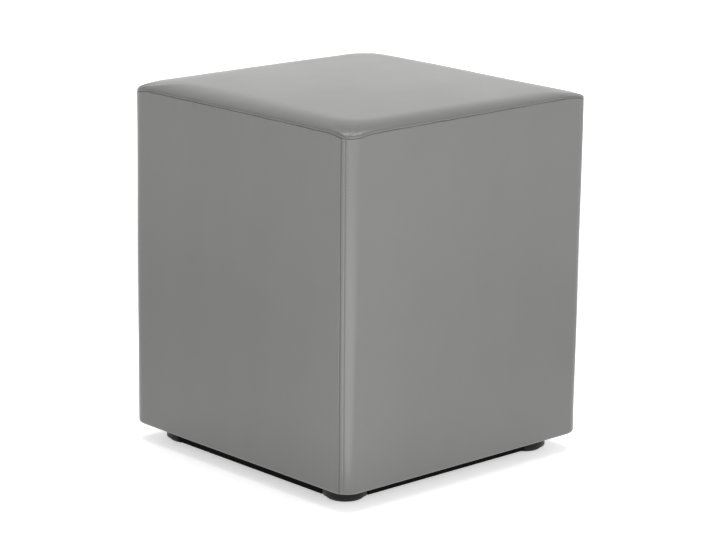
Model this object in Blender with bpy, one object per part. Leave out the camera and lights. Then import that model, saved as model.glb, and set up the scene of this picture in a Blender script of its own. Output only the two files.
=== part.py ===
"""Cube pouf stool.

Four upright panels and a crowned seat panel of smooth leatherette, each with its share of the
filling behind it, are sewn edge to edge into a square body. Each upright panel wraps round one
corner, so its seam lies just past that corner, and is turned under along the floor edge. Below
are a black base board, set back from the cloth, and four round glides in its cut-out corners.

Metres, +Z up. The origin is on the floor under the middle of the body, and the front is -Y.
"""

import math

import bmesh
import bpy
import numpy as np

# The body
WIDTH = 0.400  # across the upright faces, both ways
FLOOR_GAP = 0.0215  # underside of the body above the floor
SEAM_HEIGHT = 0.4498  # seat seam above the floor
CORNER_RADIUS = 0.020  # of the upright corners, in plan
FACE_CROWN = 0.0012  # how far the middle of an upright face stands out
GAP = 0.0003  # left open between neighbouring pieces

# The seat panel
SHOULDER_WIDTH = 0.040  # from the seat seam in to the flat of the seat
SHOULDER_RISE = 0.008  # from the seat seam up to the flat of the seat
SEAT_CROWN = 0.002  # further rise to the middle of the seat
SEAT_CORNER_RADIUS = 0.038  # of the flat's corners, in plan
CORNER_DIP = 0.0026  # how far the upright seams draw the seat seam down
DIP_FLAT = 0.005  # the dip keeps its full depth this far from a corner
DIP_END = 0.032  # and has gone at this distance

# Sewn and filled by hand, the front is not quite even
SEAM_SLANT = 0.0025  # the seat seam falls to the front left corner and rises to the front right
SEAT_SINK = 0.0033  # the seat is lower towards the front right corner

# Seams: both edges roll into the cloth
SEAM_DEPTH = 0.002
SEAM_LIP = 0.0013  # width of the roll on one side of a seam
SEAM_TURN = math.radians(18.0)  # how far round a corner its upright seam lies

UNDER_ROLL = 0.004  # radius of the edge that is turned under at the floor

# The base board
BOARD_WIDTH = 0.3476
BOARD_SHIFT = (-0.0025, 0.0025)  # it sits a little off centre, to the back left
BOARD_LIFT = 0.004  # its underside above the floor
BOARD_HORN = 0.0025  # width of its narrow ends beside a glide
BOARD_BEVEL = 0.0008

# The glides: name, and place from the middle of the body
GLIDES = (
    ("glide_front_left", -0.1525, -0.1477),
    ("glide_front_right", 0.150, -0.150),
    ("glide_back_right", 0.150, 0.150),
    ("glide_back_left", -0.150, 0.150),
)
GLIDE_TOP_RADIUS = 0.0255
GLIDE_FOOT_RADIUS = 0.0240
GLIDE_CLEARANCE = 0.0006  # between a glide and the ring cut out of the board
GLIDE_RIM = 0.0045  # rounding of the lower rim
GLIDE_STEPS = 28
RIM_STEPS = 4

# How finely curved stretches are stepped
SEAM_STEPS = 2  # round a corner as far as its upright seam
ARC_STEPS = 6  # and from there on
FACE_STEPS = 10  # a face between its corners
ROLL_STEPS = 3  # the roll of an edge
RING_STEPS = 14  # the board's cut round a glide
WALL_LEVELS = (0.0, 0.05, 0.15, 0.35, 0.65, 0.85, 0.95, 1.0)  # shares of a face's height
SEAM_INSETS = (0.005, 0.009, 0.014, 0.020, 0.027)  # rings of the faces that meet at the seat seam
SHOULDER_TURNS = (10, 20, 31, 43, 56, 72, 90)  # degrees round the ellipse of the shoulder
SEAT_SHARES = (0.7, 0.35)  # rings of the flat, as shares of its outline

HALF = WIDTH / 2
QUARTER = math.pi / 2

# name: (linear colour, roughness)
FINISHES = {
    "leatherette": ((0.216, 0.218, 0.208), 0.42),
    "black_board": ((0.006, 0.006, 0.006), 0.70),
    "glide_plastic": ((0.022, 0.022, 0.024), 0.45),
}


def smooth(share):
    """An even S from 0 to 1, flat at both ends: 3t^2 - 2t^3."""
    share = np.clip(share, 0.0, 1.0)
    return share * share * (3.0 - 2.0 * share)


def corner_dip(x, y):
    """How far the upright seams draw the cloth down, fading evenly with distance from a corner."""
    tip = HALF - CORNER_RADIUS * (1.0 - math.sqrt(0.5))
    distance = np.hypot(np.abs(x) - tip, np.abs(y) - tip)
    return CORNER_DIP * smooth((DIP_END - distance) / (DIP_END - DIP_FLAT))


def seam_level(x, y):
    """Height of the seat seam's surface: level, but for the dips and the slant of the front."""
    frontness = (HALF - y) / WIDTH
    return SEAM_HEIGHT - corner_dip(x, y) + SEAM_SLANT * (x / HALF) * frontness**3


def seat_level(x, y):
    """Height of the seat before its filling lifts it: level, but sunk to the front right."""
    frontness, rightness = (HALF - y) / WIDTH, (HALF + x) / WIDTH
    return SEAM_HEIGHT - SEAT_SINK * (frontness * rightness) ** 2


def outline(angles, inset, corner, crown=0.0):
    """Plan points (x, y) of a rounded square, one at each polar angle.

    Along a face the distance from the axis is half / cos(fold), where fold is the angle from
    the face's normal. Past the face's end it is where that ray leaves the corner's circle.
    """
    fold = np.abs((angles + QUARTER / 2) % QUARTER - QUARTER / 2)
    half = HALF - inset + crown * (1.0 - np.tan(fold) ** 2)
    centre = half - corner
    along = centre * (np.cos(fold) + np.sin(fold))
    past = np.sqrt(np.maximum(along**2 - 2.0 * centre**2 + corner**2, 0.0))
    on_face = half * np.tan(fold) <= centre
    radius = np.where(on_face, half / np.cos(fold), along + past)
    return radius * np.cos(angles), radius * np.sin(angles)


def arc_angle(turn):
    """Polar angle, from the normal of the face before, of a point `turn` round a corner."""
    centre = HALF - CORNER_RADIUS
    return math.atan2(
        centre + CORNER_RADIUS * math.sin(turn), centre + CORNER_RADIUS * math.cos(turn)
    )


def face_angles():
    """Polar angles across the straight part of the face that looks along +X."""
    reach = HALF - CORNER_RADIUS
    return [math.atan2(reach * (2 * i / FACE_STEPS - 1), HALF) for i in range(FACE_STEPS + 1)]


def corner_turns():
    """Turns round an upright corner, from the end of one face to the start of the next."""
    before = [SEAM_TURN * i / SEAM_STEPS for i in range(SEAM_STEPS)]
    beyond = QUARTER - SEAM_TURN
    return before + [SEAM_TURN + beyond * i / ARC_STEPS for i in range(ARC_STEPS + 1)]


def roll_turns():
    """Turns from the bottom of a seam, 0, to where its roll meets the skin, a quarter turn."""
    return [QUARTER * i / ROLL_STEPS for i in range(ROLL_STEPS + 1)]


def seam_roll(distance):
    """Depth of the cloth's surface at a distance from a seam: a quarter of an ellipse."""
    share = np.clip(1.0 - distance / SEAM_LIP, 0.0, 1.0)
    return SEAM_DEPTH * (1.0 - np.sqrt(1.0 - share**2))


def panel_stations():
    """Polar angles and seam depths across the upright panel that looks along +X."""
    lip_turns = [SEAM_LIP * (1.0 - math.cos(turn)) / CORNER_RADIUS for turn in roll_turns()]
    first = [SEAM_TURN + lip for lip in lip_turns]
    first += [turn for turn in corner_turns()[:-1] if turn > first[-1]]
    last = [SEAM_TURN - lip for lip in reversed(lip_turns)]
    last = [turn for turn in corner_turns()[1:] if turn < last[0]] + last
    angles = [arc_angle(turn) - QUARTER for turn in first]
    angles += face_angles() + [arc_angle(turn) for turn in last]
    from_seam = [CORNER_RADIUS * (turn - SEAM_TURN) for turn in first]
    from_seam += [HALF] * (FACE_STEPS + 1) + [CORNER_RADIUS * (SEAM_TURN - turn) for turn in last]
    return np.array(angles), seam_roll(np.array(from_seam))


def side_panel_rings(facing):
    """Rings of (x, y, z) from under the body, up the face and in over the top."""
    angles, groove = panel_stations()
    angles = angles + facing
    top = seam_level(*outline(angles, 0.0, CORNER_RADIUS)) - GAP / 2
    low, high = FLOOR_GAP + UNDER_ROLL, top - SEAM_LIP
    rings = []
    for turn in roll_turns()[:-1]:
        x, y = outline(angles, groove + UNDER_ROLL * (1 - math.sin(turn)), CORNER_RADIUS)
        rings.append((x, y, np.full(len(x), FLOOR_GAP + UNDER_ROLL * (1 - math.cos(turn)))))
    for share in WALL_LEVELS:
        crown = FACE_CROWN * (1.0 - (2.0 * share - 1.0) ** 6)
        rings.append((*outline(angles, groove, CORNER_RADIUS, crown), low + (high - low) * share))
    for turn in reversed(roll_turns()[:-1]):
        x, y = outline(angles, groove + SEAM_DEPTH * (1 - math.sin(turn)), CORNER_RADIUS)
        rings.append((x, y, top - SEAM_LIP * (1 - math.cos(turn))))
    for inset in SEAM_INSETS:
        x, y = outline(angles, inset, CORNER_RADIUS)
        rings.append((x, y, seam_level(x, y) - GAP / 2))
    return rings


def seat_rings():
    """Closed rings of (x, y, z) from the seat panel's underside, round its edge and up."""
    side = np.array(face_angles() + [arc_angle(turn) for turn in corner_turns()[1:-1]])
    angles = np.concatenate([side + QUARTER * i for i in range(4)])
    edge = seam_level(*outline(angles, 0.0, CORNER_RADIUS))
    rings = []
    for inset in reversed(SEAM_INSETS):
        x, y = outline(angles, inset, CORNER_RADIUS)
        rings.append((x, y, seam_level(x, y) + GAP / 2))
    for turn in roll_turns()[:-1]:
        x, y = outline(angles, SEAM_DEPTH * (1 - math.sin(turn)), CORNER_RADIUS)
        rings.append((x, y, edge + GAP / 2 + SEAM_LIP * (1 - math.cos(turn))))
    for degrees in SHOULDER_TURNS:
        turn = math.radians(degrees)
        inset = SHOULDER_WIDTH * (1 - math.cos(turn))
        share = smooth(inset / SHOULDER_WIDTH)
        corner = CORNER_RADIUS + (SEAT_CORNER_RADIUS - CORNER_RADIUS) * share
        x, y = outline(angles, inset, corner)
        base = seam_level(x, y) * (1.0 - share) + seat_level(x, y) * share
        rings.append((x, y, base + SHOULDER_RISE * math.sin(turn) + crown_at(x, y)))
    for share in SEAT_SHARES:
        x, y = outline(angles, SHOULDER_WIDTH, SEAT_CORNER_RADIUS)
        x, y = x * share, y * share
        rings.append((x, y, seat_level(x, y) + SHOULDER_RISE + crown_at(x, y)))
    return rings


def crown_at(x, y):
    """Rise of the seat's crown: a low dome that is level with the seam round the edge."""
    return SEAT_CROWN * (1.0 - (x / HALF) ** 2) * (1.0 - (y / HALF) ** 2)


def ring_mesh(name, rings, bottom, top, closed):
    """A closed solid: rings joined in order and fanned to a point below and a point above.

    Open rings are a wedge round the axis, and each of its two upright sides is one flat face.
    Each four-sided patch is split from its outer ring, so two surfaces that face each other
    across a gap split alike.
    """
    mesh = bpy.data.meshes.new(name)
    bm = bmesh.new()
    rows = [[bm.verts.new(point) for point in zip(*ring)] for ring in rings]
    foot, head = bm.verts.new(bottom), bm.verts.new(top)
    count = len(rows[0])
    for i in range(count if closed else count - 1):
        j = (i + 1) % count
        bm.faces.new((foot, rows[0][j], rows[0][i]))
        for low, high in zip(rows, rows[1:]):
            outward = low[i].co.xy.length > high[i].co.xy.length
            outer, inner = (low, high) if outward else (high, low)
            bm.faces.new((outer[i], outer[j], inner[j]))
            bm.faces.new((outer[i], inner[j], inner[i]))
        bm.faces.new((rows[-1][i], rows[-1][j], head))
    if not closed:
        bm.faces.new([foot] + [row[0] for row in rows] + [head])
        bm.faces.new([head] + [row[-1] for row in reversed(rows)] + [foot])
    bmesh.ops.recalc_face_normals(bm, faces=bm.faces)
    bm.to_mesh(mesh)
    bm.free()
    return mesh


def side_panel_mesh(facing):
    """The upright panel whose face looks along the polar angle `facing`."""
    rings = side_panel_rings(facing)
    top = seam_level(0.0, 0.0) - GAP / 2
    return ring_mesh("side_panel", rings, (0.0, 0.0, FLOOR_GAP), (0.0, 0.0, top), closed=False)


def seat_mesh():
    bottom = seam_level(0.0, 0.0) + GAP / 2
    top = seat_level(0.0, 0.0) + SHOULDER_RISE + SEAT_CROWN
    return ring_mesh("top_panel", seat_rings(), (0.0, 0.0, bottom), (0.0, 0.0, top), closed=True)


def board_corner(place):
    """Points from the left or right side, in round a glide's ring, to the front or back side.

    The points are worked out as if this were the corner at the back right, and then turned
    over to its own side. The board ends square, HORN wide, where it runs out beside the ring.
    """
    sign = np.sign(place)
    ring = GLIDE_TOP_RADIUS + GLIDE_CLEARANCE
    edge = sign * (np.array(BOARD_SHIFT) - place) + BOARD_WIDTH / 2
    narrow = edge - BOARD_HORN
    along = np.sqrt(ring**2 - narrow**2)
    start = math.atan2(-along[0], narrow[0])
    end = math.atan2(narrow[1], -along[1]) - 2 * math.pi
    turns = [start + (end - start) * i / RING_STEPS for i in range(RING_STEPS + 1)]
    points = [(edge[0], -along[0])] + [(ring * math.cos(t), ring * math.sin(t)) for t in turns]
    return place + sign * np.array(points + [(-along[1], edge[1])])


def board_mesh():
    """A square board cut out round each glide, drawn as an outline and extruded upwards."""
    mesh = bpy.data.meshes.new("base_board")
    bm = bmesh.new()
    corners = []
    for _, x, y in GLIDES:
        corner = board_corner(np.array([x, y]))
        corners += list(corner if x * y > 0 else corner[::-1])
    face = bm.faces.new([bm.verts.new((x, y, BOARD_LIFT)) for x, y in corners])
    thickness = FLOOR_GAP - GAP - BOARD_LIFT
    raised = bmesh.ops.extrude_face_region(bm, geom=[face])["geom"]
    moved = [item for item in raised if isinstance(item, bmesh.types.BMVert)]
    bmesh.ops.translate(bm, verts=moved, vec=(0.0, 0.0, thickness))
    bmesh.ops.recalc_face_normals(bm, faces=bm.faces)
    bm.to_mesh(mesh)
    bm.free()
    return mesh


def glide_mesh():
    """A short cone, widest at the top, with its lower rim rounded."""
    mesh = bpy.data.meshes.new("glide")
    bm = bmesh.new()
    height = FLOOR_GAP - GAP
    bmesh.ops.create_cone(
        bm,
        cap_ends=True,
        segments=GLIDE_STEPS,
        radius1=GLIDE_FOOT_RADIUS,
        radius2=GLIDE_TOP_RADIUS,
        depth=height,
    )
    bmesh.ops.translate(bm, verts=bm.verts, vec=(0.0, 0.0, height / 2))
    rim = [edge for edge in bm.edges if max(vert.co.z for vert in edge.verts) < height / 2]
    bmesh.ops.bevel(bm, geom=rim, offset=GLIDE_RIM, segments=RIM_STEPS, profile=0.5, affect="EDGES")
    bm.to_mesh(mesh)
    bm.free()
    return mesh


def make_finish(name):
    colour, roughness = FINISHES[name]
    material = bpy.data.materials.new(name)
    material.use_nodes = True
    shader = material.node_tree.nodes["Principled BSDF"]
    shader.inputs["Base Color"].default_value = (*colour, 1.0)
    shader.inputs["Roughness"].default_value = roughness
    shader.inputs["Metallic"].default_value = 0.0
    return material


def place(name, mesh, parent, location=(0.0, 0.0, 0.0)):
    """An object of its own for one piece of the stool."""
    piece = bpy.data.objects.new(name, mesh)
    piece.location = location
    piece.parent = parent
    bpy.context.collection.objects.link(piece)
    return piece


def finish(mesh, material, sharp_degrees):
    mesh.materials.append(material)
    mesh.shade_smooth()
    mesh.set_sharp_from_angle(angle=math.radians(sharp_degrees))


def add_body(stool, leatherette):
    # each wedge stands GAP / 2 clear of the planes through the axis that part the panels
    stand_off = GAP / 2 * math.sqrt(2)
    for i, side in enumerate(("right", "back", "left", "front")):
        panel = side_panel_mesh(QUARTER * i)
        finish(panel, leatherette, 50)
        middle = QUARTER * i + arc_angle(SEAM_TURN) - QUARTER / 2
        away = (stand_off * math.cos(middle), stand_off * math.sin(middle), 0.0)
        place("side_panel_" + side, panel, stool, away)
    seat = seat_mesh()
    finish(seat, leatherette, 50)
    place("top_panel", seat, stool)


def add_base_board(stool, black):
    mesh = board_mesh()
    finish(mesh, black, 30)
    board = place("base_board", mesh, stool)
    bevel = board.modifiers.new("eased_edges", "BEVEL")
    bevel.width = BOARD_BEVEL
    bevel.segments = 1


def add_glides(stool, plastic):
    mesh = glide_mesh()
    finish(mesh, plastic, 40)
    for name, x, y in GLIDES:
        place(name, mesh, stool, (x, y, 0.0))


def main():
    for old in list(bpy.data.objects):
        bpy.data.objects.remove(old)
    stool = bpy.data.objects.new("pouf_stool", None)
    bpy.context.collection.objects.link(stool)
    add_body(stool, make_finish("leatherette"))
    add_base_board(stool, make_finish("black_board"))
    add_glides(stool, make_finish("glide_plastic"))


main()
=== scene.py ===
# %% [markdown]
# # A cube pouf stool in smooth grey leatherette
#
# The stool is an upholstered box: one seat panel on top and four upright panels, sewn edge to
# edge over firm foam, on a black base board with four round glides. Nothing on it is loose, so
# what makes it look real is small: seams that roll inwards, one row of top-stitching beside
# each upright seam, corners that the seams draw down, and a satin skin with a fine grain.
#
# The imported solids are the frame. Each soft piece below is a finer skin in the place of its
# solid, and the sizes that the solids already hold are read back from them.

# %% Load the frame and read the main sizes from it
import math

import bpy
import numpy as np
from mathutils import Matrix, Vector


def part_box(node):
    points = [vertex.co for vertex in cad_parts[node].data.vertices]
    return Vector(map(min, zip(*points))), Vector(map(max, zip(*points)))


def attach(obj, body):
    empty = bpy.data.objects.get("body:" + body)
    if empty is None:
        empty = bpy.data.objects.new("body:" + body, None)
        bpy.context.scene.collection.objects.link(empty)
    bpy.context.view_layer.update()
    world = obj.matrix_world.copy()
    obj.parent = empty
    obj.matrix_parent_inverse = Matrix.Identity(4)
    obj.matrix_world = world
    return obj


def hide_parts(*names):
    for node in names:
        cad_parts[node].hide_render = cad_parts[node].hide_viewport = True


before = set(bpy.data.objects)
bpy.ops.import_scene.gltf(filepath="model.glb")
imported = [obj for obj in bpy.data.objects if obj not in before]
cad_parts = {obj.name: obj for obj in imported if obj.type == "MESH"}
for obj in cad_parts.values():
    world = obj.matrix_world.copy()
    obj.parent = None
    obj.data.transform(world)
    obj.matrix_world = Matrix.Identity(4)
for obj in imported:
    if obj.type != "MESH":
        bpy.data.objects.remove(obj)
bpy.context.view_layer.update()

MM = 0.001
QUARTER = math.pi / 2
GAP = 0.3 * MM  # left open between the solids
FACE_CROWN = 1.2 * MM  # how far the middle of an upright face stands out
CORNER = 20 * MM  # radius of the upright corners, in plan
MID_HEIGHT = 0.25  # about half way up the body

half = 200 * MM  # of the body's width
floor_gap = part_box("side_panel_front")[0].z
seam_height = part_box("side_panel_back")[1].z + GAP / 2
print(f"underside at {floor_gap / MM:.1f} mm, seat seam at {seam_height / MM:.1f} mm")

# %% [markdown]
# ## The plan of the body
#
# Seen from above the body is a rounded square. It could be drawn as a path of lines and arcs,
# but every piece here needs the same outline at many insets, and the panels part along planes
# through the axis. So the outline is a distance from the axis for each polar angle: a grid of
# angles and levels then gives a whole skin at once, and neighbours meet on the same angles.

# %% The outline of the body


def smooth(share):
    """An even S from 0 to 1 that is flat at both ends: 3 t squared less 2 t cubed."""
    share = np.clip(share, 0.0, 1.0)
    return share * share * (3.0 - 2.0 * share)


def outline(angle, inset=0.0, corner=CORNER, crown=0.0):
    """Distance from the axis to a rounded square at each polar angle.

    fold is the angle from the nearest face's normal. Along a face the distance is the
    half-width over the cosine of fold. Past the face's end it is the far root of the corner
    circle's equation along that ray. A crown adds 1 - tan(fold) squared of itself.
    """
    fold = np.abs((angle + QUARTER / 2) % QUARTER - QUARTER / 2)
    reach = half - inset + crown * (1.0 - np.tan(fold) ** 2)
    centre = reach - corner
    along = centre * (np.cos(fold) + np.sin(fold))
    past = np.sqrt(np.maximum(along**2 - 2.0 * centre**2 + corner**2, 0.0))
    return np.where(reach * np.tan(fold) <= centre, reach / np.cos(fold), along + past)


def arc_angle(turn):
    """Polar angle, from the normal of the face before, of a point `turn` round a corner."""
    centre = half - CORNER
    return np.arctan2(centre + CORNER * np.sin(turn), centre + CORNER * np.cos(turn))


def plan(angle, radius):
    return radius * np.cos(angle), radius * np.sin(angle)


def spaced(*stretches):
    """Values along joined stretches, each (start, end, steps), with no joint repeated."""
    parts = [np.linspace(start, end, steps, endpoint=False) for start, end, steps in stretches]
    return np.append(np.concatenate(parts), stretches[-1][1])


# %% [markdown]
# ## The seams
#
# A plain seam shows as a narrow valley: both edges of the leatherette roll in to the stitches
# that hold them. Where an upright seam meets the seat seam, four layers are caught together
# and the seat seam is drawn down a few millimetres. Hand-guided sewing also wanders by a few
# tenths of a millimetre, each upright seam leans a little round its corner, and this stool's
# seat seam falls to the front left corner and rises to the front right.

# %% Seam shapes
SEAM_DEPTH = 0.8 * MM
SEAM_LIP = 1.2 * MM  # width of the roll on one side
CORNER_DIP = 3.0 * MM
DIP_FLAT, DIP_END = 5 * MM, 32 * MM  # the dip is full this near a corner, and gone this far
SEAM_SLANT = 2.5 * MM  # the fall at the front left corner, and the rise at the front right
SLANT_POWER_LEFT, SLANT_POWER_RIGHT = 3, 14
SEAM_LIFT = 0.7 * MM  # the front edge stands this much higher than the back
SEAM_TURN_LOW = math.radians(22)  # how far round its corner a seam lies at the floor
SEAM_TURN_HIGH = math.radians(14)  # and at the seat
SEAM_WANDER = 0.25 * MM
SEAM_WAVES = ((0.6, 23, 0.7), (0.4, 41, 2.1))  # share, waves round the body, phase
SKIN_GAP = 0.08 * MM  # between skins that meet in a seam
STITCH_OFFSET = 5.0 * MM  # top-stitching, from the seam
STITCH_TROUGH = 0.45 * MM  # how deep it pulls the skin in
STITCH_SPREAD = 0.9 * MM


def seam_roll(distance):
    """Depth of the skin at a distance from a seam: a quarter of an ellipse."""
    share = np.clip(1.0 - distance / SEAM_LIP, 0.0, 1.0)
    return SEAM_DEPTH * (1.0 - np.sqrt(1.0 - share**2))


def stitch_trough(distance):
    """Depth of the trough under the top-stitching: a bell curve centred on its line."""
    return STITCH_TROUGH * np.exp(-(((distance - STITCH_OFFSET) / STITCH_SPREAD) ** 2))


def corner_distance(x, y):
    """Distance in plan from the nearest upright corner."""
    tip = half - CORNER * (1.0 - math.sqrt(0.5))
    return np.hypot(np.abs(x) - tip, np.abs(y) - tip)


def frontness(y):
    """Share of the way from the back edge to the front edge."""
    return (half - y) / (2 * half)


def seam_level(x, y):
    """Height of the seat seam: level, less an S-shaped dip at each corner, plus a lift by the
    square of frontness, a slant and a wander of two sine waves. The slant is x over the
    half-width times a power of frontness: a low power on the left, where the seam falls along
    the whole side, and a high one on the right, where it rises only at the very corner."""
    angle = np.arctan2(y, x)
    wander = sum(share * np.sin(waves * angle + phase) for share, waves, phase in SEAM_WAVES)
    dip = smooth((DIP_END - corner_distance(x, y)) / (DIP_END - DIP_FLAT))
    front = frontness(y)
    slant = SEAM_SLANT * (x / half) * front ** np.where(x > 0, SLANT_POWER_RIGHT, SLANT_POWER_LEFT)
    lift = SEAM_LIFT * front**2
    return seam_height - CORNER_DIP * dip + slant + lift + SEAM_WANDER * wander * (1.0 - dip)


def seam_turn(level):
    """How far round its corner an upright seam lies at a height: a straight lean."""
    share = np.clip((level - floor_gap) / (seam_height - floor_gap), 0.0, 1.0)
    return SEAM_TURN_LOW + (SEAM_TURN_HIGH - SEAM_TURN_LOW) * share


front_corners = np.radians([225.0, 315.0])
corner_levels = seam_level(*plan(front_corners, outline(front_corners))) / MM
print("seat seam at the front left and front right corners:", np.round(corner_levels, 1), "mm")

# %% [markdown]
# ## From a grid of points to a closed skin
#
# Each skin is a grid of points, rows from the underside to the top and columns round the axis.
# The columns join up in a ring, and the first and last rows are fanned to one point each. For
# an upright panel one column runs up the axis itself, so that its two hidden sides close too.

# %% A closed mesh from a grid


def add_mesh(name, points, faces, sharp_degrees=60):
    """A new object at the origin, shaded smooth except across sharp folds."""
    mesh = bpy.data.meshes.new(name)
    mesh.from_pydata(points.reshape(-1, 3).tolist(), [], faces)
    mesh.shade_smooth()
    mesh.set_sharp_from_angle(angle=math.radians(sharp_degrees))
    piece = bpy.data.objects.new(name, mesh)
    bpy.context.scene.collection.objects.link(piece)
    return piece


def ring_patches(number):
    """Four-sided faces of number[..., row, column], whose columns close in a ring."""
    after = np.roll(number, -1, axis=-1)
    corners = (number[..., :-1, :], after[..., :-1, :], after[..., 1:, :], number[..., 1:, :])
    return np.stack(corners, axis=-1).reshape(-1, 4)


def end_fans(number, low, high):
    """Triangles from the first row to the point `low` and from the last row to `high`."""
    after = np.roll(number, -1, axis=-1)
    under = np.stack([after[..., 0, :], number[..., 0, :], low + 0 * number[..., 0, :]], axis=-1)
    over = np.stack([number[..., -1, :], after[..., -1, :], high + 0 * number[..., 0, :]], axis=-1)
    return np.concatenate([under.reshape(-1, 3), over.reshape(-1, 3)])


def closed_grid(name, grid, bottom, top):
    """A closed skin from grid[row, column] of points, with a point below and one above."""
    number = np.arange(grid.shape[0] * grid.shape[1]).reshape(grid.shape[:2])
    points = np.concatenate([grid.reshape(-1, 3), [bottom, top]])
    faces = ring_patches(number).tolist() + end_fans(number, number.size, number.size + 1).tolist()
    return add_mesh(name, points, faces)


# %% [markdown]
# ## The upright panels
#
# Four equal panels stand round the body like the sails of a windmill: each wraps round the
# corner at its left and ends at the seam of the next. A box with a Bevel modifier would give
# even, machined edges, so the skin is worked out instead. Its rows run under the body, round
# the turned edge, up the face, over the roll of the seat seam and in towards the axis.

# %% Columns of an upright panel, set out from its two seams
FACE_COLUMNS = 100
ROLL_COLUMNS = 7
# In millimetres from a seam: where the columns over the roll end, where the fine ones end, and
# about where the corner ends, for the panel that wraps round it and for the one that tucks in
ROLL_END, FINE_END, WRAP_END, TUCK_END = 1.3, 9.0, 25.0, 5.0
lip_steps = SEAM_LIP * (1.0 - np.cos(np.linspace(0.0, QUARTER, ROLL_COLUMNS)))
past_roll = spaced((ROLL_END, FINE_END, 16), (FINE_END, WRAP_END, 10))[1:] * MM
wrap_steps = np.append(lip_steps, past_roll)
tuck_steps = np.append(lip_steps, spaced((ROLL_END, TUCK_END, 4))[1:] * MM)


def stretched(steps, keep, room):
    """Steps that end at `room`: those up to `keep` stay, and the rest share the difference."""
    share = np.clip((steps - keep) / (steps[-1] - keep), 0.0, 1.0)
    return steps[None, :] + (room - steps[-1]) * share[None, :]


def panel_columns(level):
    """Polar angle of each column at each row's height, and its distance from the seam that the
    panel starts at and from the one it ends at. A column off that corner gets the half-width,
    which is far enough to feel no seam."""
    turn = seam_turn(level)[:, None]
    wrap = stretched(wrap_steps, FINE_END * MM, (QUARTER - turn) * CORNER)
    tuck = stretched(tuck_steps, SEAM_LIP, turn * CORNER)[:, ::-1]
    across = (half - CORNER) * np.linspace(-1.0, 1.0, FACE_COLUMNS + 1)[1:-1]
    face = np.arctan2(across, half)[None, :] + 0.0 * turn
    angle = [arc_angle(turn + wrap / CORNER) - QUARTER, face, arc_angle(turn - tuck / CORNER)]
    from_wrap = np.hstack([wrap, np.full(face.shape, half), np.full(tuck.shape, half)])
    from_tuck = np.hstack([np.full(wrap.shape, half), np.full(face.shape, half), tuck])
    return np.hstack(angle), from_wrap, from_tuck


print(f"{len(wrap_steps) + FACE_COLUMNS + len(tuck_steps)} columns across an upright panel")

# %% [markdown]
# Taut cloth over foam is never quite even. Broad, shallow swells run over the faces, and just
# below the seat seam the skin gathers in faint ripples. Both are sums of a few sine waves, so
# that they stay soft and come out the same each time.

# %% How the skin of a face departs from its plane
SWELL = 0.22 * MM
RIPPLE = 0.10 * MM
RIPPLE_REACH = 14 * MM
LOW_EASE = 20  # dents grow from none to full over the lowest twentieth of a face


def face_dent(angle, level, facing):
    """Depth of the swells, a product of two sine waves plus half of a third, and of ripples,
    two sine waves that fade exponentially below the seat seam. The counts of the waves are
    given, and `facing` makes each face different."""
    swell = np.sin(9 * angle + 11 * level + facing) * np.sin(16 * level - 4 * angle + 2 * facing)
    swell = swell + 0.5 * np.sin(21 * angle - 7 * level + 3 * facing)
    fade = np.exp(-(seam_height - level) / RIPPLE_REACH)
    ripple = np.sin(78 * angle + 5 * facing) + 0.7 * np.sin(121 * angle + 60 * level + facing)
    return SWELL * swell + RIPPLE * ripple * fade


def wall_crown(share):
    """Crown of a face at a share of its height: 1 less the sixth power of how far the share
    is from the middle, so that it is full in the middle and none at either edge."""
    return FACE_CROWN * (1.0 - (2.0 * share - 1.0) ** 6)


# %% Rows of an upright panel
UNDER_ROLL = 4.0 * MM  # radius of the edge that is turned under
under_insets = np.array([110, 50, 18, 11]) * MM  # how far in the rows under the body lie
top_insets = np.array([5, 7, 10, 14, 18, 22, 27, 50, 110]) * MM  # and those under the seat
wall_shares = spaced((0.0, 0.05, 6), (0.05, 0.93, 60), (0.93, 1.0, 14))  # close at both ends
quarter_steps = np.linspace(0.0, QUARTER, 9)[:-1, None]  # over each rolled edge


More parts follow.
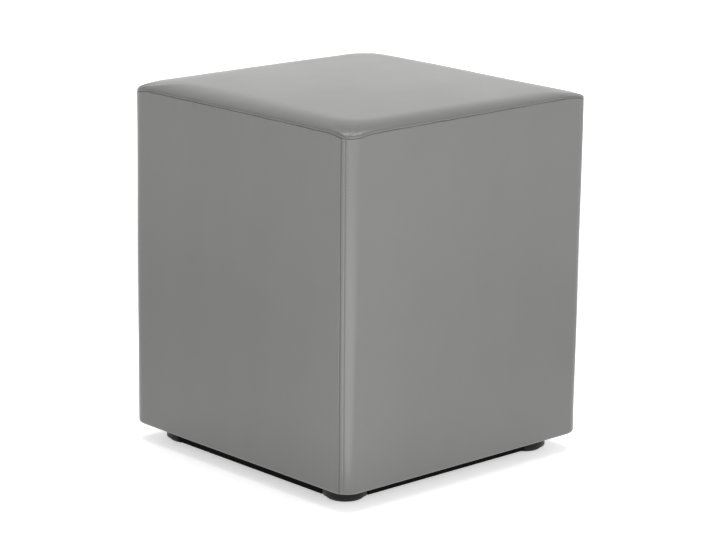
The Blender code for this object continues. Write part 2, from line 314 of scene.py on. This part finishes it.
def panel_grid(facing):
    """Rows of points across the panel whose face looks along the polar angle `facing`.

    The seams lean, so the columns are first set out at a guess of each row's height. Both
    rolled edges are quarter turns of a circle or an ellipse, by its sine and cosine.
    """
    rows = len(under_insets) + len(quarter_steps) * 2 + len(wall_shares) + len(top_insets)
    guess = np.full(rows, floor_gap)
    first_wall = len(under_insets) + len(quarter_steps)
    last_wall = first_wall + len(wall_shares)
    guess[first_wall:last_wall] = floor_gap + (seam_height - floor_gap) * wall_shares
    guess[last_wall:] = seam_height
    angle, from_wrap, from_tuck = panel_columns(guess)
    angle = angle + facing
    groove = seam_roll(from_wrap) + seam_roll(from_tuck)
    line = stitch_trough(from_wrap)

    top = seam_level(*plan(angle, outline(angle))) - SKIN_GAP / 2
    low, high = floor_gap + UNDER_ROLL, top - SEAM_LIP

    def part(start, count):
        return slice(start, start + count)

    radius = np.empty(angle.shape)
    height = np.empty(angle.shape)

    span = part(0, len(under_insets))
    radius[span] = outline(angle[span], under_insets[:, None])
    height[span] = floor_gap

    span = part(span.stop, len(quarter_steps))
    inset = UNDER_ROLL * (1.0 - np.sin(quarter_steps))
    radius[span] = outline(angle[span], inset + groove[span] + line[span])
    height[span] = floor_gap + UNDER_ROLL * (1.0 - np.cos(quarter_steps))

    span = part(span.stop, len(wall_shares))
    share = wall_shares[:, None]
    height[span] = low + (high[span] - low) * share
    dent = face_dent(angle[span] - facing, height[span], facing)
    dent = dent * np.minimum(1.0, LOW_EASE * share)
    inset = groove[span] + line[span] + dent
    radius[span] = outline(angle[span], inset, crown=wall_crown(share))

    span = part(span.stop, len(quarter_steps))
    turn = QUARTER - quarter_steps
    dent = face_dent(angle[span] - facing, high[span], facing)
    inset = groove[span] + line[span] + dent * np.sin(turn)
    inset = inset + SEAM_DEPTH * (1.0 - np.sin(turn))
    radius[span] = outline(angle[span], inset)
    height[span] = top[span] - SEAM_LIP * (1.0 - np.cos(turn))

    span = part(span.stop, len(top_insets))
    radius[span] = outline(angle[span], top_insets[:, None])
    x, y = plan(angle[span], radius[span])
    height[span] = seam_level(x, y) - SKIN_GAP / 2
    return np.stack([*plan(angle, radius), height], axis=-1)


# %% The four upright covers


def add_upright_cover(name, facing):
    """One panel with a last column up the axis, stood off so that it parts from its
    neighbours by SKIN_GAP."""
    grid = panel_grid(facing)
    rows = len(grid)
    top = seam_level(0.0, 0.0) - SKIN_GAP / 2
    axis = np.zeros((rows, 1, 3))
    axis[:, 0, 2] = floor_gap + (top - floor_gap) * np.arange(1, rows + 1) / (rows + 1)
    grid = np.concatenate([grid, axis], axis=1)
    middle = facing + arc_angle(seam_turn(np.array([MID_HEIGHT]))[0]) - QUARTER / 2
    away = SKIN_GAP / 2 * math.sqrt(2) * np.array([math.cos(middle), math.sin(middle), 0.0])
    return closed_grid(name, grid + away, (*away[:2], floor_gap), (*away[:2], top)), away


sides = {"right": 0.0, "back": QUARTER, "left": 2 * QUARTER, "front": 3 * QUARTER}
covers, stand_offs = {}, {}
for side, facing in sides.items():
    covers[side], stand_offs[side] = add_upright_cover("cover_" + side, facing)
print(f"{len(covers['front'].data.polygons)} faces on each upright panel")

# %% [markdown]
# ## The seat panel
#
# The seat is a thick pad under the same cloth. From its seam the skin rises steeply, then
# curves over a soft shoulder into a nearly flat top with a low crown. A cushion made by cloth
# simulation swells too much here, because this cover is taut over firm foam, so the shoulder
# is a quarter of an ellipse. The filling has settled a little: the shoulder is widest on the
# left, the flat falls to the front, and it sinks along the front half of the right edge. The
# pull of each corner spreads in a few soft puckers.

# %% How the filling has settled
SHOULDER_WIDTH = 35 * MM
SHOULDER_SPREAD = 15 * MM  # the shoulder is this much wider on its soft side
SOFT_SIDE = math.radians(165)  # which is the left, a little to the back
SHOULDER_RISE = 10.0 * MM
SEAT_CROWN = 2.0 * MM
FRONT_FALL = 2.6 * MM  # the flat is this much lower at the front than at the back
FALL_EASE = 0.4  # share of that fall that is missing on the right
SEAT_SINK = 7.4 * MM  # the flat is this much lower again along the front of the right edge
SINK_START, SINK_LENGTH = 0.3, 0.5  # where the sink grows, in shares of the way to the front
SINK_POWER = 40  # a high power keeps the sink close to the edge
SEAT_PUCKER = 0.3 * MM
PUCKER_REACH = 26 * MM  # how far from a corner the puckers die away
PUCKER_START = 2.5 * MM  # and how far in from the seam they are full


def crown_at(x, y):
    """Rise of the seat's crown: a low dome that is level with the seam round the edge."""
    return SEAT_CROWN * (1.0 - (x / half) ** 2) * (1.0 - (y / half) ** 2)


def seat_rise(x, y):
    """How far the flat of the seat stands above its seam: the full rise, less a straight fall
    to the front that is weaker on the right, less a sink. The sink is an S along the way to
    the front, times a high power of the way to the right."""
    front, rightness = frontness(y), (half + x) / (2 * half)
    sink = SEAT_SINK * smooth((front - SINK_START) / SINK_LENGTH) * np.abs(rightness) ** SINK_POWER
    return SHOULDER_RISE - FRONT_FALL * front * (1.0 - FALL_EASE * rightness) - sink


def shoulder_width(angle):
    """Width of the shoulder, which grows with the squared cosine of the angle from the soft
    side, and is even on the half of the seat that faces away from it."""
    return SHOULDER_WIDTH + SHOULDER_SPREAD * np.maximum(np.cos(angle - SOFT_SIDE), 0.0) ** 2


def seat_pucker(x, y, inset):
    """Ripples that fan out from each corner's dip: two sine waves of the angle about the
    corner, under a bell curve of the distance from it. Counts and phases are given."""
    spoke = np.arctan2(half - np.abs(y), half - np.abs(x))
    fade = np.exp(-((corner_distance(x, y) / PUCKER_REACH) ** 2)) * smooth(inset / PUCKER_START)
    which = np.sign(x) + 2 * np.sign(y)
    return fade * (np.sin(9 * spoke + 1.7 * which) + 0.8 * np.sin(17 * spoke - which))


widths = shoulder_width(np.radians(np.arange(0.0, 360.0, 5.0))) / MM
print(f"shoulder {widths.min():.0f} to {widths.max():.0f} mm wide")

# %% The seat cover
SEAT_CORNER = 29 * MM  # radius of the flat's corners, in plan
ARC_COLUMNS = 28
shoulder_turns = np.radians(spaced((0, 30, 12), (30, 90, 22)))[:, None]
flat_shares = np.linspace(1.0, 0.0, 22)[1:-1, None]


def seat_columns():
    """Polar angles right round: finely over each corner and evenly over each face."""
    across = (half - CORNER) * np.linspace(-1.0, 1.0, FACE_COLUMNS + 1)
    face = np.arctan2(across, half)
    arc = arc_angle(np.linspace(0.0, QUARTER, ARC_COLUMNS)[1:-1])
    side = np.append(face, arc)
    return np.concatenate([side + QUARTER * i for i in range(4)])


def add_seat_cover():
    """Rows from inside the seam, over its roll, up the shoulder and in over the flat.

    Along the shoulder the inset is the width times 1 - cos(turn), and the climb from the roll
    to the flat goes by sin(turn), while the plan's corners open out to those of the flat.
    """
    angle = seat_columns()[None, :]
    edge = seam_level(*plan(angle, outline(angle)))
    rows = []
    for inset in top_insets[::-1]:
        x, y = plan(angle, outline(angle, inset))
        rows.append((x, y, seam_level(x, y) + SKIN_GAP / 2))
    x, y = plan(angle, outline(angle, SEAM_DEPTH * (1.0 - np.sin(quarter_steps))))
    rows.append((x, y, edge + SKIN_GAP / 2 + SEAM_LIP * (1.0 - np.cos(quarter_steps))))

    width = shoulder_width(angle)
    inset = width * (1.0 - np.cos(shoulder_turns))
    share = smooth(inset / width)
    x, y = plan(angle, outline(angle, inset, CORNER + (SEAT_CORNER - CORNER) * share))
    start = edge + SKIN_GAP / 2 + SEAM_LIP
    climb = (seam_height + seat_rise(x, y) - start) * np.sin(shoulder_turns)
    puckers = SEAT_PUCKER * seat_pucker(x, y, inset)
    rows.append((x, y, start + climb + puckers + crown_at(x, y)))

    x, y = plan(angle, outline(angle, width, SEAT_CORNER))
    x, y = x * flat_shares, y * flat_shares
    rows.append((x, y, seam_height + seat_rise(x, y) + crown_at(x, y)))
    grid = np.concatenate([np.stack(row, axis=-1) for row in rows])
    bottom = seam_level(0.0, 0.0) + SKIN_GAP / 2
    top = seam_height + seat_rise(0.0, 0.0) + SEAT_CROWN
    return closed_grid("seat_cover", grid, (0.0, 0.0, bottom), (0.0, 0.0, top))


seat_cover = add_seat_cover()
print(f"{len(seat_cover.data.polygons)} faces on the seat")

# %% [markdown]
# ## Top-stitching
#
# Beside each upright seam one row of stitches holds the folded edge down. A line drawn in the
# material would be flat, and a curve would be one unbroken cord, so each stitch is a small
# closed grain of thread that dives into the skin at both ends. All the stitches of a seam are
# one mesh, worked out as one array of stitch, ring and point.

# %% The stitches
STITCH_PITCH = 3.8 * MM
STITCH_LENGTH = 3.1 * MM
THREAD_RADIUS = 0.32 * MM
ROW_START, ROW_END = 8 * MM, 5 * MM  # clear of the turned edge, and of the seat seam
STITCH_RINGS, THREAD_SIDES = 7, 8
RING_SPAN = (0.06, 0.94)  # where the first and the last ring lie along a stitch
ARCH, SINK_IN, TIP_DEPTH = 1.1, 0.45, 0.6  # in thread radii
FLATTENING = 1.15  # a stitch is this much wider than it is high


def stitch_line_point(level, facing):
    """Point on the skin at the foot of the trough, at each height, and its polar angle."""
    angle = facing - QUARTER + arc_angle(seam_turn(level) + STITCH_OFFSET / CORNER)
    low = floor_gap + UNDER_ROLL
    share = np.clip((level - low) / (seam_height - low), 0.0, 1.0)
    ease = np.minimum(1.0, LOW_EASE * share)
    dent = STITCH_TROUGH + face_dent(angle - facing, level, facing) * ease
    radius = outline(angle, dent, crown=wall_crown(share))
    return np.stack([*plan(angle, radius), level], axis=-1), angle


def add_stitching(name, facing, away):
    """A row of grains. Each ring of a grain is a flattened circle about the thread's middle
    line, which arches by half a sine wave, and the ring's size is the root of that arch."""
    lowest, highest = floor_gap + ROW_START, seam_height - CORNER_DIP - ROW_END
    start = np.arange(lowest, highest, STITCH_PITCH)
    along = np.linspace(*RING_SPAN, STITCH_RINGS)
    around = np.linspace(0.0, 4 * QUARTER, THREAD_SIDES, endpoint=False)
    level = start[:, None] + STITCH_LENGTH * along[None, :]
    middle, angle = stitch_line_point(level, facing)
    out = np.stack([np.cos(angle), np.sin(angle), 0.0 * angle], axis=-1)
    side = np.stack([-np.sin(angle), np.cos(angle), 0.0 * angle], axis=-1)
    arch = np.sin(np.pi * along)[None, :, None]
    middle = middle + out * THREAD_RADIUS * (ARCH * arch - SINK_IN)
    size = THREAD_RADIUS * np.sqrt(arch)
    turned = np.cos(around)[None, None, :, None], np.sin(around)[None, None, :, None]
    rings = side[:, :, None] * turned[0] * FLATTENING + out[:, :, None] * turned[1]
    points = middle[:, :, None] + size[..., None] * rings + away
    ends, _ = stitch_line_point(start[:, None] + STITCH_LENGTH * np.array([0.0, 1.0]), facing)
    ends = ends - out[:, [0, -1]] * THREAD_RADIUS * TIP_DEPTH + away
    count = points.shape[0] * points.shape[1] * points.shape[2]
    number = np.arange(count).reshape(points.shape[:3])
    tips = count + np.arange(ends.size // 3).reshape(-1, 2)
    faces = ring_patches(number).tolist() + end_fans(number, tips[:, :1], tips[:, 1:]).tolist()
    everything = np.concatenate([points.reshape(-1, 3), ends.reshape(-1, 3)])
    return add_mesh(name, everything, faces), len(start)


stitching = {}
for side, facing in sides.items():
    stitching[side], count = add_stitching("stitching_" + side, facing, stand_offs[side])
print(f"{count} stitches beside each upright seam")

# %% [markdown]
# ## The glides
#
# Under each corner a round plastic glide carries the stool, so that the cloth never touches
# the floor. A turned part is a profile carried round an axis. Here the same closed grid is used
# with a radius and a height for each row: a flat foot, a rounded rim, a straight side, and a
# collar above it that fills the ring cut in the board, so that no light shows between them.

# %% Four turned glides
GLIDE_RIM = 4.5 * MM
GLIDE_FLARE = 1.5 * MM  # how much smaller the foot's radius is than the solid's
GLIDE_COLLAR = 1.8 * MM  # and how much larger the collar's is
COLLAR_RISE = 0.6 * MM  # the collar starts this far above the board's underside
COLLAR_EDGE = 0.4 * MM  # chamfer of its edges
GLIDE_SIDES = 72


def add_glide(name, node):
    """A profile of radius and height from foot to top, carried round the glide's own axis."""
    low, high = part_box(node)
    centre = np.array([(low.x + high.x) / 2, (low.y + high.y) / 2, 0.0])
    foot = (high.x - low.x) / 2 - GLIDE_FLARE
    collar = (high.x - low.x) / 2 + GLIDE_COLLAR
    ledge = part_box("base_board")[0].z + COLLAR_RISE
    turn = np.linspace(0.0, QUARTER, 9)
    edge = collar - COLLAR_EDGE
    radius = [foot / 2, *(foot - GLIDE_RIM * (1.0 - np.sin(turn))), foot]
    height = [low.z, *(low.z + GLIDE_RIM * (1.0 - np.cos(turn))), ledge]
    radius = np.array([*radius, edge, collar, collar, edge, foot / 2])
    height = np.array([*height, ledge, ledge + COLLAR_EDGE, high.z - COLLAR_EDGE, high.z, high.z])
    around = np.linspace(0.0, 4 * QUARTER, GLIDE_SIDES, endpoint=False)[None, :]
    grid = np.stack([*plan(around, radius[:, None]), height[:, None] + 0.0 * around], axis=-1)
    grid = grid + centre
    return closed_grid(name, grid, (*centre[:2], low.z), (*centre[:2], high.z))


places = ("front_left", "front_right", "back_right", "back_left")
glides = {place: add_glide("turned_glide_" + place, "glide_" + place) for place in places}
print(f"{len(glides)} glides, {len(glides['front_left'].data.polygons)} faces each")

# %% [markdown]
# ## Materials
#
# One function turns a colour picked in sRGB into the linear values that the shaders use, and
# one adds a node with its settings and links. Patterns read Object coordinates in metres, so
# a Noise texture's Scale is one over the size of its blobs.

# %% Colour and node helpers


def linear(hexadecimal):
    """Linear RGBA of an sRGB hex colour: the standard curve, with a straight toe."""
    value = np.array([int(hexadecimal[i : i + 2], 16) / 255 for i in (1, 3, 5)])
    toe = value / 12.92
    curve = ((value + 0.055) / 1.055) ** 2.4
    return (*np.where(value <= 0.04045, toe, curve), 1.0)


def add_node(tree, kind, inputs=None, **settings):
    """A node with its settings, and each input given a value or linked from a socket."""
    node = tree.nodes.new(kind)
    for name, value in settings.items():
        setattr(node, name, value)
    for key, value in (inputs or {}).items():
        if isinstance(value, bpy.types.NodeSocket):
            tree.links.new(value, node.inputs[key])
        else:
            node.inputs[key].default_value = value
    return node


def new_material(name):
    """An empty node material with its Principled shader, wired to the output."""
    material = bpy.data.materials.new(name)
    material.use_nodes = True
    tree = material.node_tree
    tree.nodes.clear()
    shader = add_node(tree, "ShaderNodeBsdfPrincipled")
    add_node(tree, "ShaderNodeOutputMaterial", {"Surface": shader.outputs[0]})
    return material, tree, shader


# %% [markdown]
# ### The leatherette
#
# Leatherette is a woven backing coated with soft PVC and embossed with a leather grain. The
# grain here is very fine and the lacquer satin, so the cloth looks nearly plain from a step
# away. What the eye reads is a mild, broad sheen that grows at grazing angles, and a colour
# that is not quite even.

# %% Satin embossed leatherette
GRAIN = 0.9 * MM  # cells of the embossing
EMBOSSING = 0.05 * MM  # its depth
MOTTLE = 60 * MM  # patches of slightly different shade
GLOSS_SPREAD = 0.03  # they differ this much in roughness, either way


def satin_leatherette(name, colour, roughness):
    """Two shades mixed by a broad noise, and a bump of fine cells plus noise 2.5 times finer."""
    material, tree, shader = new_material(name)
    place = add_node(tree, "ShaderNodeTexCoord").outputs["Object"]
    mottle = add_node(
        tree, "ShaderNodeTexNoise", {"Vector": place, "Scale": 1 / MOTTLE, "Detail": 3.0}
    )
    shades = add_node(tree, "ShaderNodeMix", {0: mottle.outputs["Fac"]}, data_type="RGBA")
    shades.inputs[6].default_value = linear(colour[0])
    shades.inputs[7].default_value = linear(colour[1])
    tree.links.new(shades.outputs[2], shader.inputs["Base Color"])

    cells = add_node(
        tree,
        "ShaderNodeTexVoronoi",
        {"Vector": place, "Scale": 1 / GRAIN, "Randomness": 1.0},
        feature="SMOOTH_F1",
    )
    pores = add_node(
        tree, "ShaderNodeTexNoise", {"Vector": place, "Scale": 2.5 / GRAIN, "Detail": 2.0}
    )
    grain = add_node(
        tree,
        "ShaderNodeMath",
        {0: cells.outputs["Distance"], 1: pores.outputs["Fac"]},
        operation="ADD",
    )
    bump = add_node(
        tree,
        "ShaderNodeBump",
        {"Height": grain.outputs[0], "Strength": 0.25, "Distance": EMBOSSING},
    )
    tree.links.new(bump.outputs["Normal"], shader.inputs["Normal"])
    low, high = roughness - GLOSS_SPREAD, roughness + GLOSS_SPREAD
    gloss = add_node(
        tree,
        "ShaderNodeMapRange",
        {"Value": mottle.outputs["Fac"], "To Min": low, "To Max": high},
    )
    tree.links.new(gloss.outputs["Result"], shader.inputs["Roughness"])
    shader.inputs["IOR"].default_value = 1.5
    return material


leatherette = satin_leatherette("satin_leatherette", ("#626260", "#666664"), roughness=0.30)
print(f"{leatherette.name}: grain of {GRAIN / MM:.1f} mm, {EMBOSSING / MM:.2f} mm deep")

# %% [markdown]
# ### Thread, board and glides
#
# The thread is bonded nylon, a shade lighter than the cloth, with a soft lustre. The board is
# raw-edged fibreboard painted matt black: it hardly shows, but a little grey in its highlights
# keeps it from being a hole in the picture. The glides are moulded polypropylene in charcoal
# with a finely sparked surface. The sizes of the speckles are the twist of the thread, the
# bundles of fibre in the board, and a sparking drawn coarser than it is, so that it can show.

# %% Thread, painted board and moulded plastic


def speckled(name, colour, roughness, size, strength, depth, gloss=0.5):
    """Two near shades mixed by fine noise of a size in metres, which also gives the bump."""
    material, tree, shader = new_material(name)
    place = add_node(tree, "ShaderNodeTexCoord").outputs["Object"]
    noise = add_node(
        tree, "ShaderNodeTexNoise", {"Vector": place, "Scale": 1 / size, "Detail": 3.0}
    )
    shades = add_node(tree, "ShaderNodeMix", {0: noise.outputs["Fac"]}, data_type="RGBA")
    shades.inputs[6].default_value = linear(colour[0])
    shades.inputs[7].default_value = linear(colour[1])
    tree.links.new(shades.outputs[2], shader.inputs["Base Color"])
    bump = add_node(
        tree,
        "ShaderNodeBump",
        {"Height": noise.outputs["Fac"], "Strength": strength, "Distance": depth},
    )
    tree.links.new(bump.outputs["Normal"], shader.inputs["Normal"])
    shader.inputs["Roughness"].default_value = roughness
    shader.inputs["Specular IOR Level"].default_value = gloss
    return material


thread = speckled(
    "bonded_nylon_thread",
    ("#6a6a68", "#747472"),
    roughness=0.45,
    size=0.4 * MM,
    strength=0.4,
    depth=0.1 * MM,
)
board_paint = speckled(
    "matt_black_fibreboard",
    ("#050505", "#090909"),
    roughness=0.9,
    size=1.2 * MM,
    strength=0.3,
    depth=0.1 * MM,
    gloss=0.12,
)
glide_plastic = speckled(
    "moulded_charcoal_plastic",
    ("#0f0f10", "#131315"),
    roughness=0.42,
    size=0.8 * MM,
    strength=0.2,
    depth=0.05 * MM,
    gloss=0.25,
)
print("finishes:", thread.name, board_paint.name, glide_plastic.name)

# %% [markdown]
# ## Putting finish and frame together
#
# Each new piece gets its material, rides on the one body and hides the solid it stands for.
# The base board's solid is already right, so it keeps its shape and only gets the black paint.

# %% Dress the pieces


def dress(piece, material, slot, *nodes):
    """Finish a piece, fix it to the body and hide the solids it stands for, if any."""
    piece.data.materials.append(material)
    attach(piece, "root")
    if nodes:
        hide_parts(*nodes)


for side in sides:
    dress(covers[side], leatherette, "leatherette", "side_panel_" + side)
    dress(stitching[side], thread, "leatherette")
dress(seat_cover, leatherette, "leatherette", "top_panel")
for place, glide in glides.items():
    dress(glide, glide_plastic, "glide_plastic", "glide_" + place)
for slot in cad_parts["base_board"].material_slots:
    slot.material = board_paint
print(f"{len(covers) + len(stitching) + len(glides) + 1} pieces dressed, and one solid painted")

# %% [markdown]
# ## The studio
#
# A white floor runs out of sight. Lamps alone would leave it grey away from the stool, so it
# also glows, once near the stool and once far out, and is pure white but for the narrow
# contact shadow. The sky is a gradient: white near the horizon, so that the seat mirrors it at
# a flat angle and looks pale, dimmer higher up, where the shoulder mirrors it, and dimmer to
# the left, because the left face is the darker one.

# %% The floor
FLOOR_SIZE = 40.0
# Each gradient runs from a first to a last value and gives a first and a last strength there
GRADIENT = ("From Min", "From Max", "To Min", "To Max")
NEAR_GLOW, FAR_GLOW = (0.35, 0.9, 0.5, 0.0), (0.6, 2.3, 0.0, 0.8)  # by distance in metres

floor_corners = np.array([[-1, -1, 0], [1, -1, 0], [1, 1, 0], [-1, 1, 0]])
floor = add_mesh("floor", FLOOR_SIZE * floor_corners / 2, [[0, 1, 2, 3]])
floor_finish = speckled(
    "white_paper",
    ("#f2f2f2", "#f4f4f4"),
    roughness=0.9,
    size=0.3,
    strength=0.0,
    depth=0.1 * MM,
)
sweep = floor_finish.node_tree
paper = next(node for node in sweep.nodes if node.type == "BSDF_PRINCIPLED")
paper.inputs["Emission Color"].default_value = (1.0, 1.0, 1.0, 1.0)
reach = add_node(
    sweep,
    "ShaderNodeVectorMath",
    {0: add_node(sweep, "ShaderNodeTexCoord").outputs["Object"]},
    operation="LENGTH",
)
glow = [
    add_node(
        sweep,
        "ShaderNodeMapRange",
        {"Value": reach.outputs["Value"], **dict(zip(GRADIENT, gradient))},
        interpolation_type="SMOOTHSTEP",
    ).outputs["Result"]
    for gradient in (NEAR_GLOW, FAR_GLOW)
]
whole = add_node(sweep, "ShaderNodeMath", {0: glow[0], 1: glow[1]}, operation="ADD")
sweep.links.new(whole.outputs[0], paper.inputs["Emission Strength"])
floor.data.materials.append(floor_finish)
print(f"floor {FLOOR_SIZE:.0f} m across")

# %% The sky
SKY_BAND = (0.23, 0.32, 1.4, 0.55)  # by the sine of the height above the horizon
SKY_SHADE = (-1.0, 0.0, 0.68, 1.0)  # by how far to the right a direction points

world = bpy.data.worlds.new("studio_sky")
bpy.context.scene.world = world
world.use_nodes = True
sky = world.node_tree
sky.nodes.clear()
direction = add_node(sky, "ShaderNodeTexCoord").outputs["Generated"]
axes = add_node(sky, "ShaderNodeSeparateXYZ", {0: direction}).outputs
band = add_node(
    sky,
    "ShaderNodeMapRange",
    {"Value": axes["Z"], **dict(zip(GRADIENT, SKY_BAND))},
    interpolation_type="SMOOTHSTEP",
)
shade = add_node(
    sky, "ShaderNodeMapRange", {"Value": axes["X"], **dict(zip(GRADIENT, SKY_SHADE))}
)
glowing = add_node(
    sky,
    "ShaderNodeMath",
    {0: band.outputs["Result"], 1: shade.outputs["Result"]},
    operation="MULTIPLY",
)
light = add_node(
    sky,
    "ShaderNodeBackground",
    {"Color": (1.0, 1.0, 1.0, 1.0), "Strength": glowing.outputs[0]},
)
add_node(sky, "ShaderNodeOutputWorld", {"Surface": light.outputs[0]})
print(f"sky of strength {SKY_BAND[2]} at the horizon, falling to {SKY_BAND[3]}")

# %% [markdown]
# ### The lamps
#
# A real studio would use a few softboxes, and large area lights do the same. One weak lamp
# stands off the near corner and one before the front face. A third lies on the floor like a
# white card, because the upright cloth mirrors the floor: it draws the pale line beside the
# near seam. The light from above comes from two lamps in one place. One of them leaves no
# reflection, which keeps a bright streak off the near corner.

# %% Soft lights
TOP_PLACE, TOP_SIZE = (0.3, 0.3, 3.0), (2.0, 2.0)


def add_softbox(name, position, target, size, watts):
    """An area light of a width and height at a position, turned to look at a target."""
    lamp = bpy.data.lights.new(name, "AREA")
    lamp.shape = "RECTANGLE"
    lamp.size, lamp.size_y = size
    lamp.energy = watts
    box = bpy.data.objects.new(name, lamp)
    box.location = position
    box.rotation_euler = (Vector(target) - Vector(position)).to_track_quat("-Z", "Y").to_euler()
    box.visible_camera = False
    bpy.context.scene.collection.objects.link(box)
    return box


middle = (0.0, 0.0, MID_HEIGHT)
add_softbox("corner_softbox", (-1.0, -0.95, 0.3), middle, size=(0.6, 0.6), watts=0.8)
add_softbox("front_softbox", (-0.5, -1.8, 0.8), middle, size=(1.6, 1.2), watts=9.0)
add_softbox("floor_card", (-0.78, -0.82, 0.01), (-0.78, -0.82, 1.0), size=(1.1, 1.1), watts=7.5)
add_softbox("top_softbox", TOP_PLACE, middle, TOP_SIZE, watts=46.0)
top_fill = add_softbox("top_fill", TOP_PLACE, middle, TOP_SIZE, watts=25.0)
top_fill.visible_glossy = False
print(f"{len(bpy.data.lights)} lamps")

# %% [markdown]
# ## The camera
#
# A long lens from a little above seat height, looking at one corner. Its place and turn were
# found by setting the body's corners against the photograph.

# %% Camera and tone
CAMERA_PLACE = (-2.1931, -2.3664, 1.0253)
YAW, PITCH, ROLL = -0.7476, 0.2431, 0.0133  # in radians
FOCAL_PIXELS = 2664.9
IMAGE_WIDTH = 716
SENSOR = 36.0


def camera_turn(yaw, pitch, roll):
    """Rotation whose columns are the camera's right, its up and the way back from it."""
    level = math.cos(pitch)
    forward = Vector((-math.sin(yaw) * level, math.cos(yaw) * level, -math.sin(pitch)))
    right = Vector((math.cos(yaw), math.sin(yaw), 0.0))
    up = right.cross(forward)
    right, up = (
        right * math.cos(roll) + up * math.sin(roll),
        up * math.cos(roll) - right * math.sin(roll),
    )
    return Matrix((right, up, -forward)).transposed()


lens = bpy.data.cameras.new("camera")
lens.sensor_width = SENSOR
lens.lens = FOCAL_PIXELS * SENSOR / IMAGE_WIDTH
lens.dof.use_dof = False
lens.clip_start = 0.1
lens.clip_end = 100.0
camera = bpy.data.objects.new("camera", lens)
camera.matrix_world = Matrix.Translation(CAMERA_PLACE) @ camera_turn(YAW, PITCH, ROLL).to_4x4()
bpy.context.scene.collection.objects.link(camera)
bpy.context.scene.camera = camera
bpy.context.scene.view_settings.view_transform = "Standard"
print(f"lens {lens.lens:.1f} mm")

# %% [markdown]
# ## The last update
#
# Last, the view layer is brought up to date.

# %% Bring the view layer up to date
bpy.context.view_layer.update()
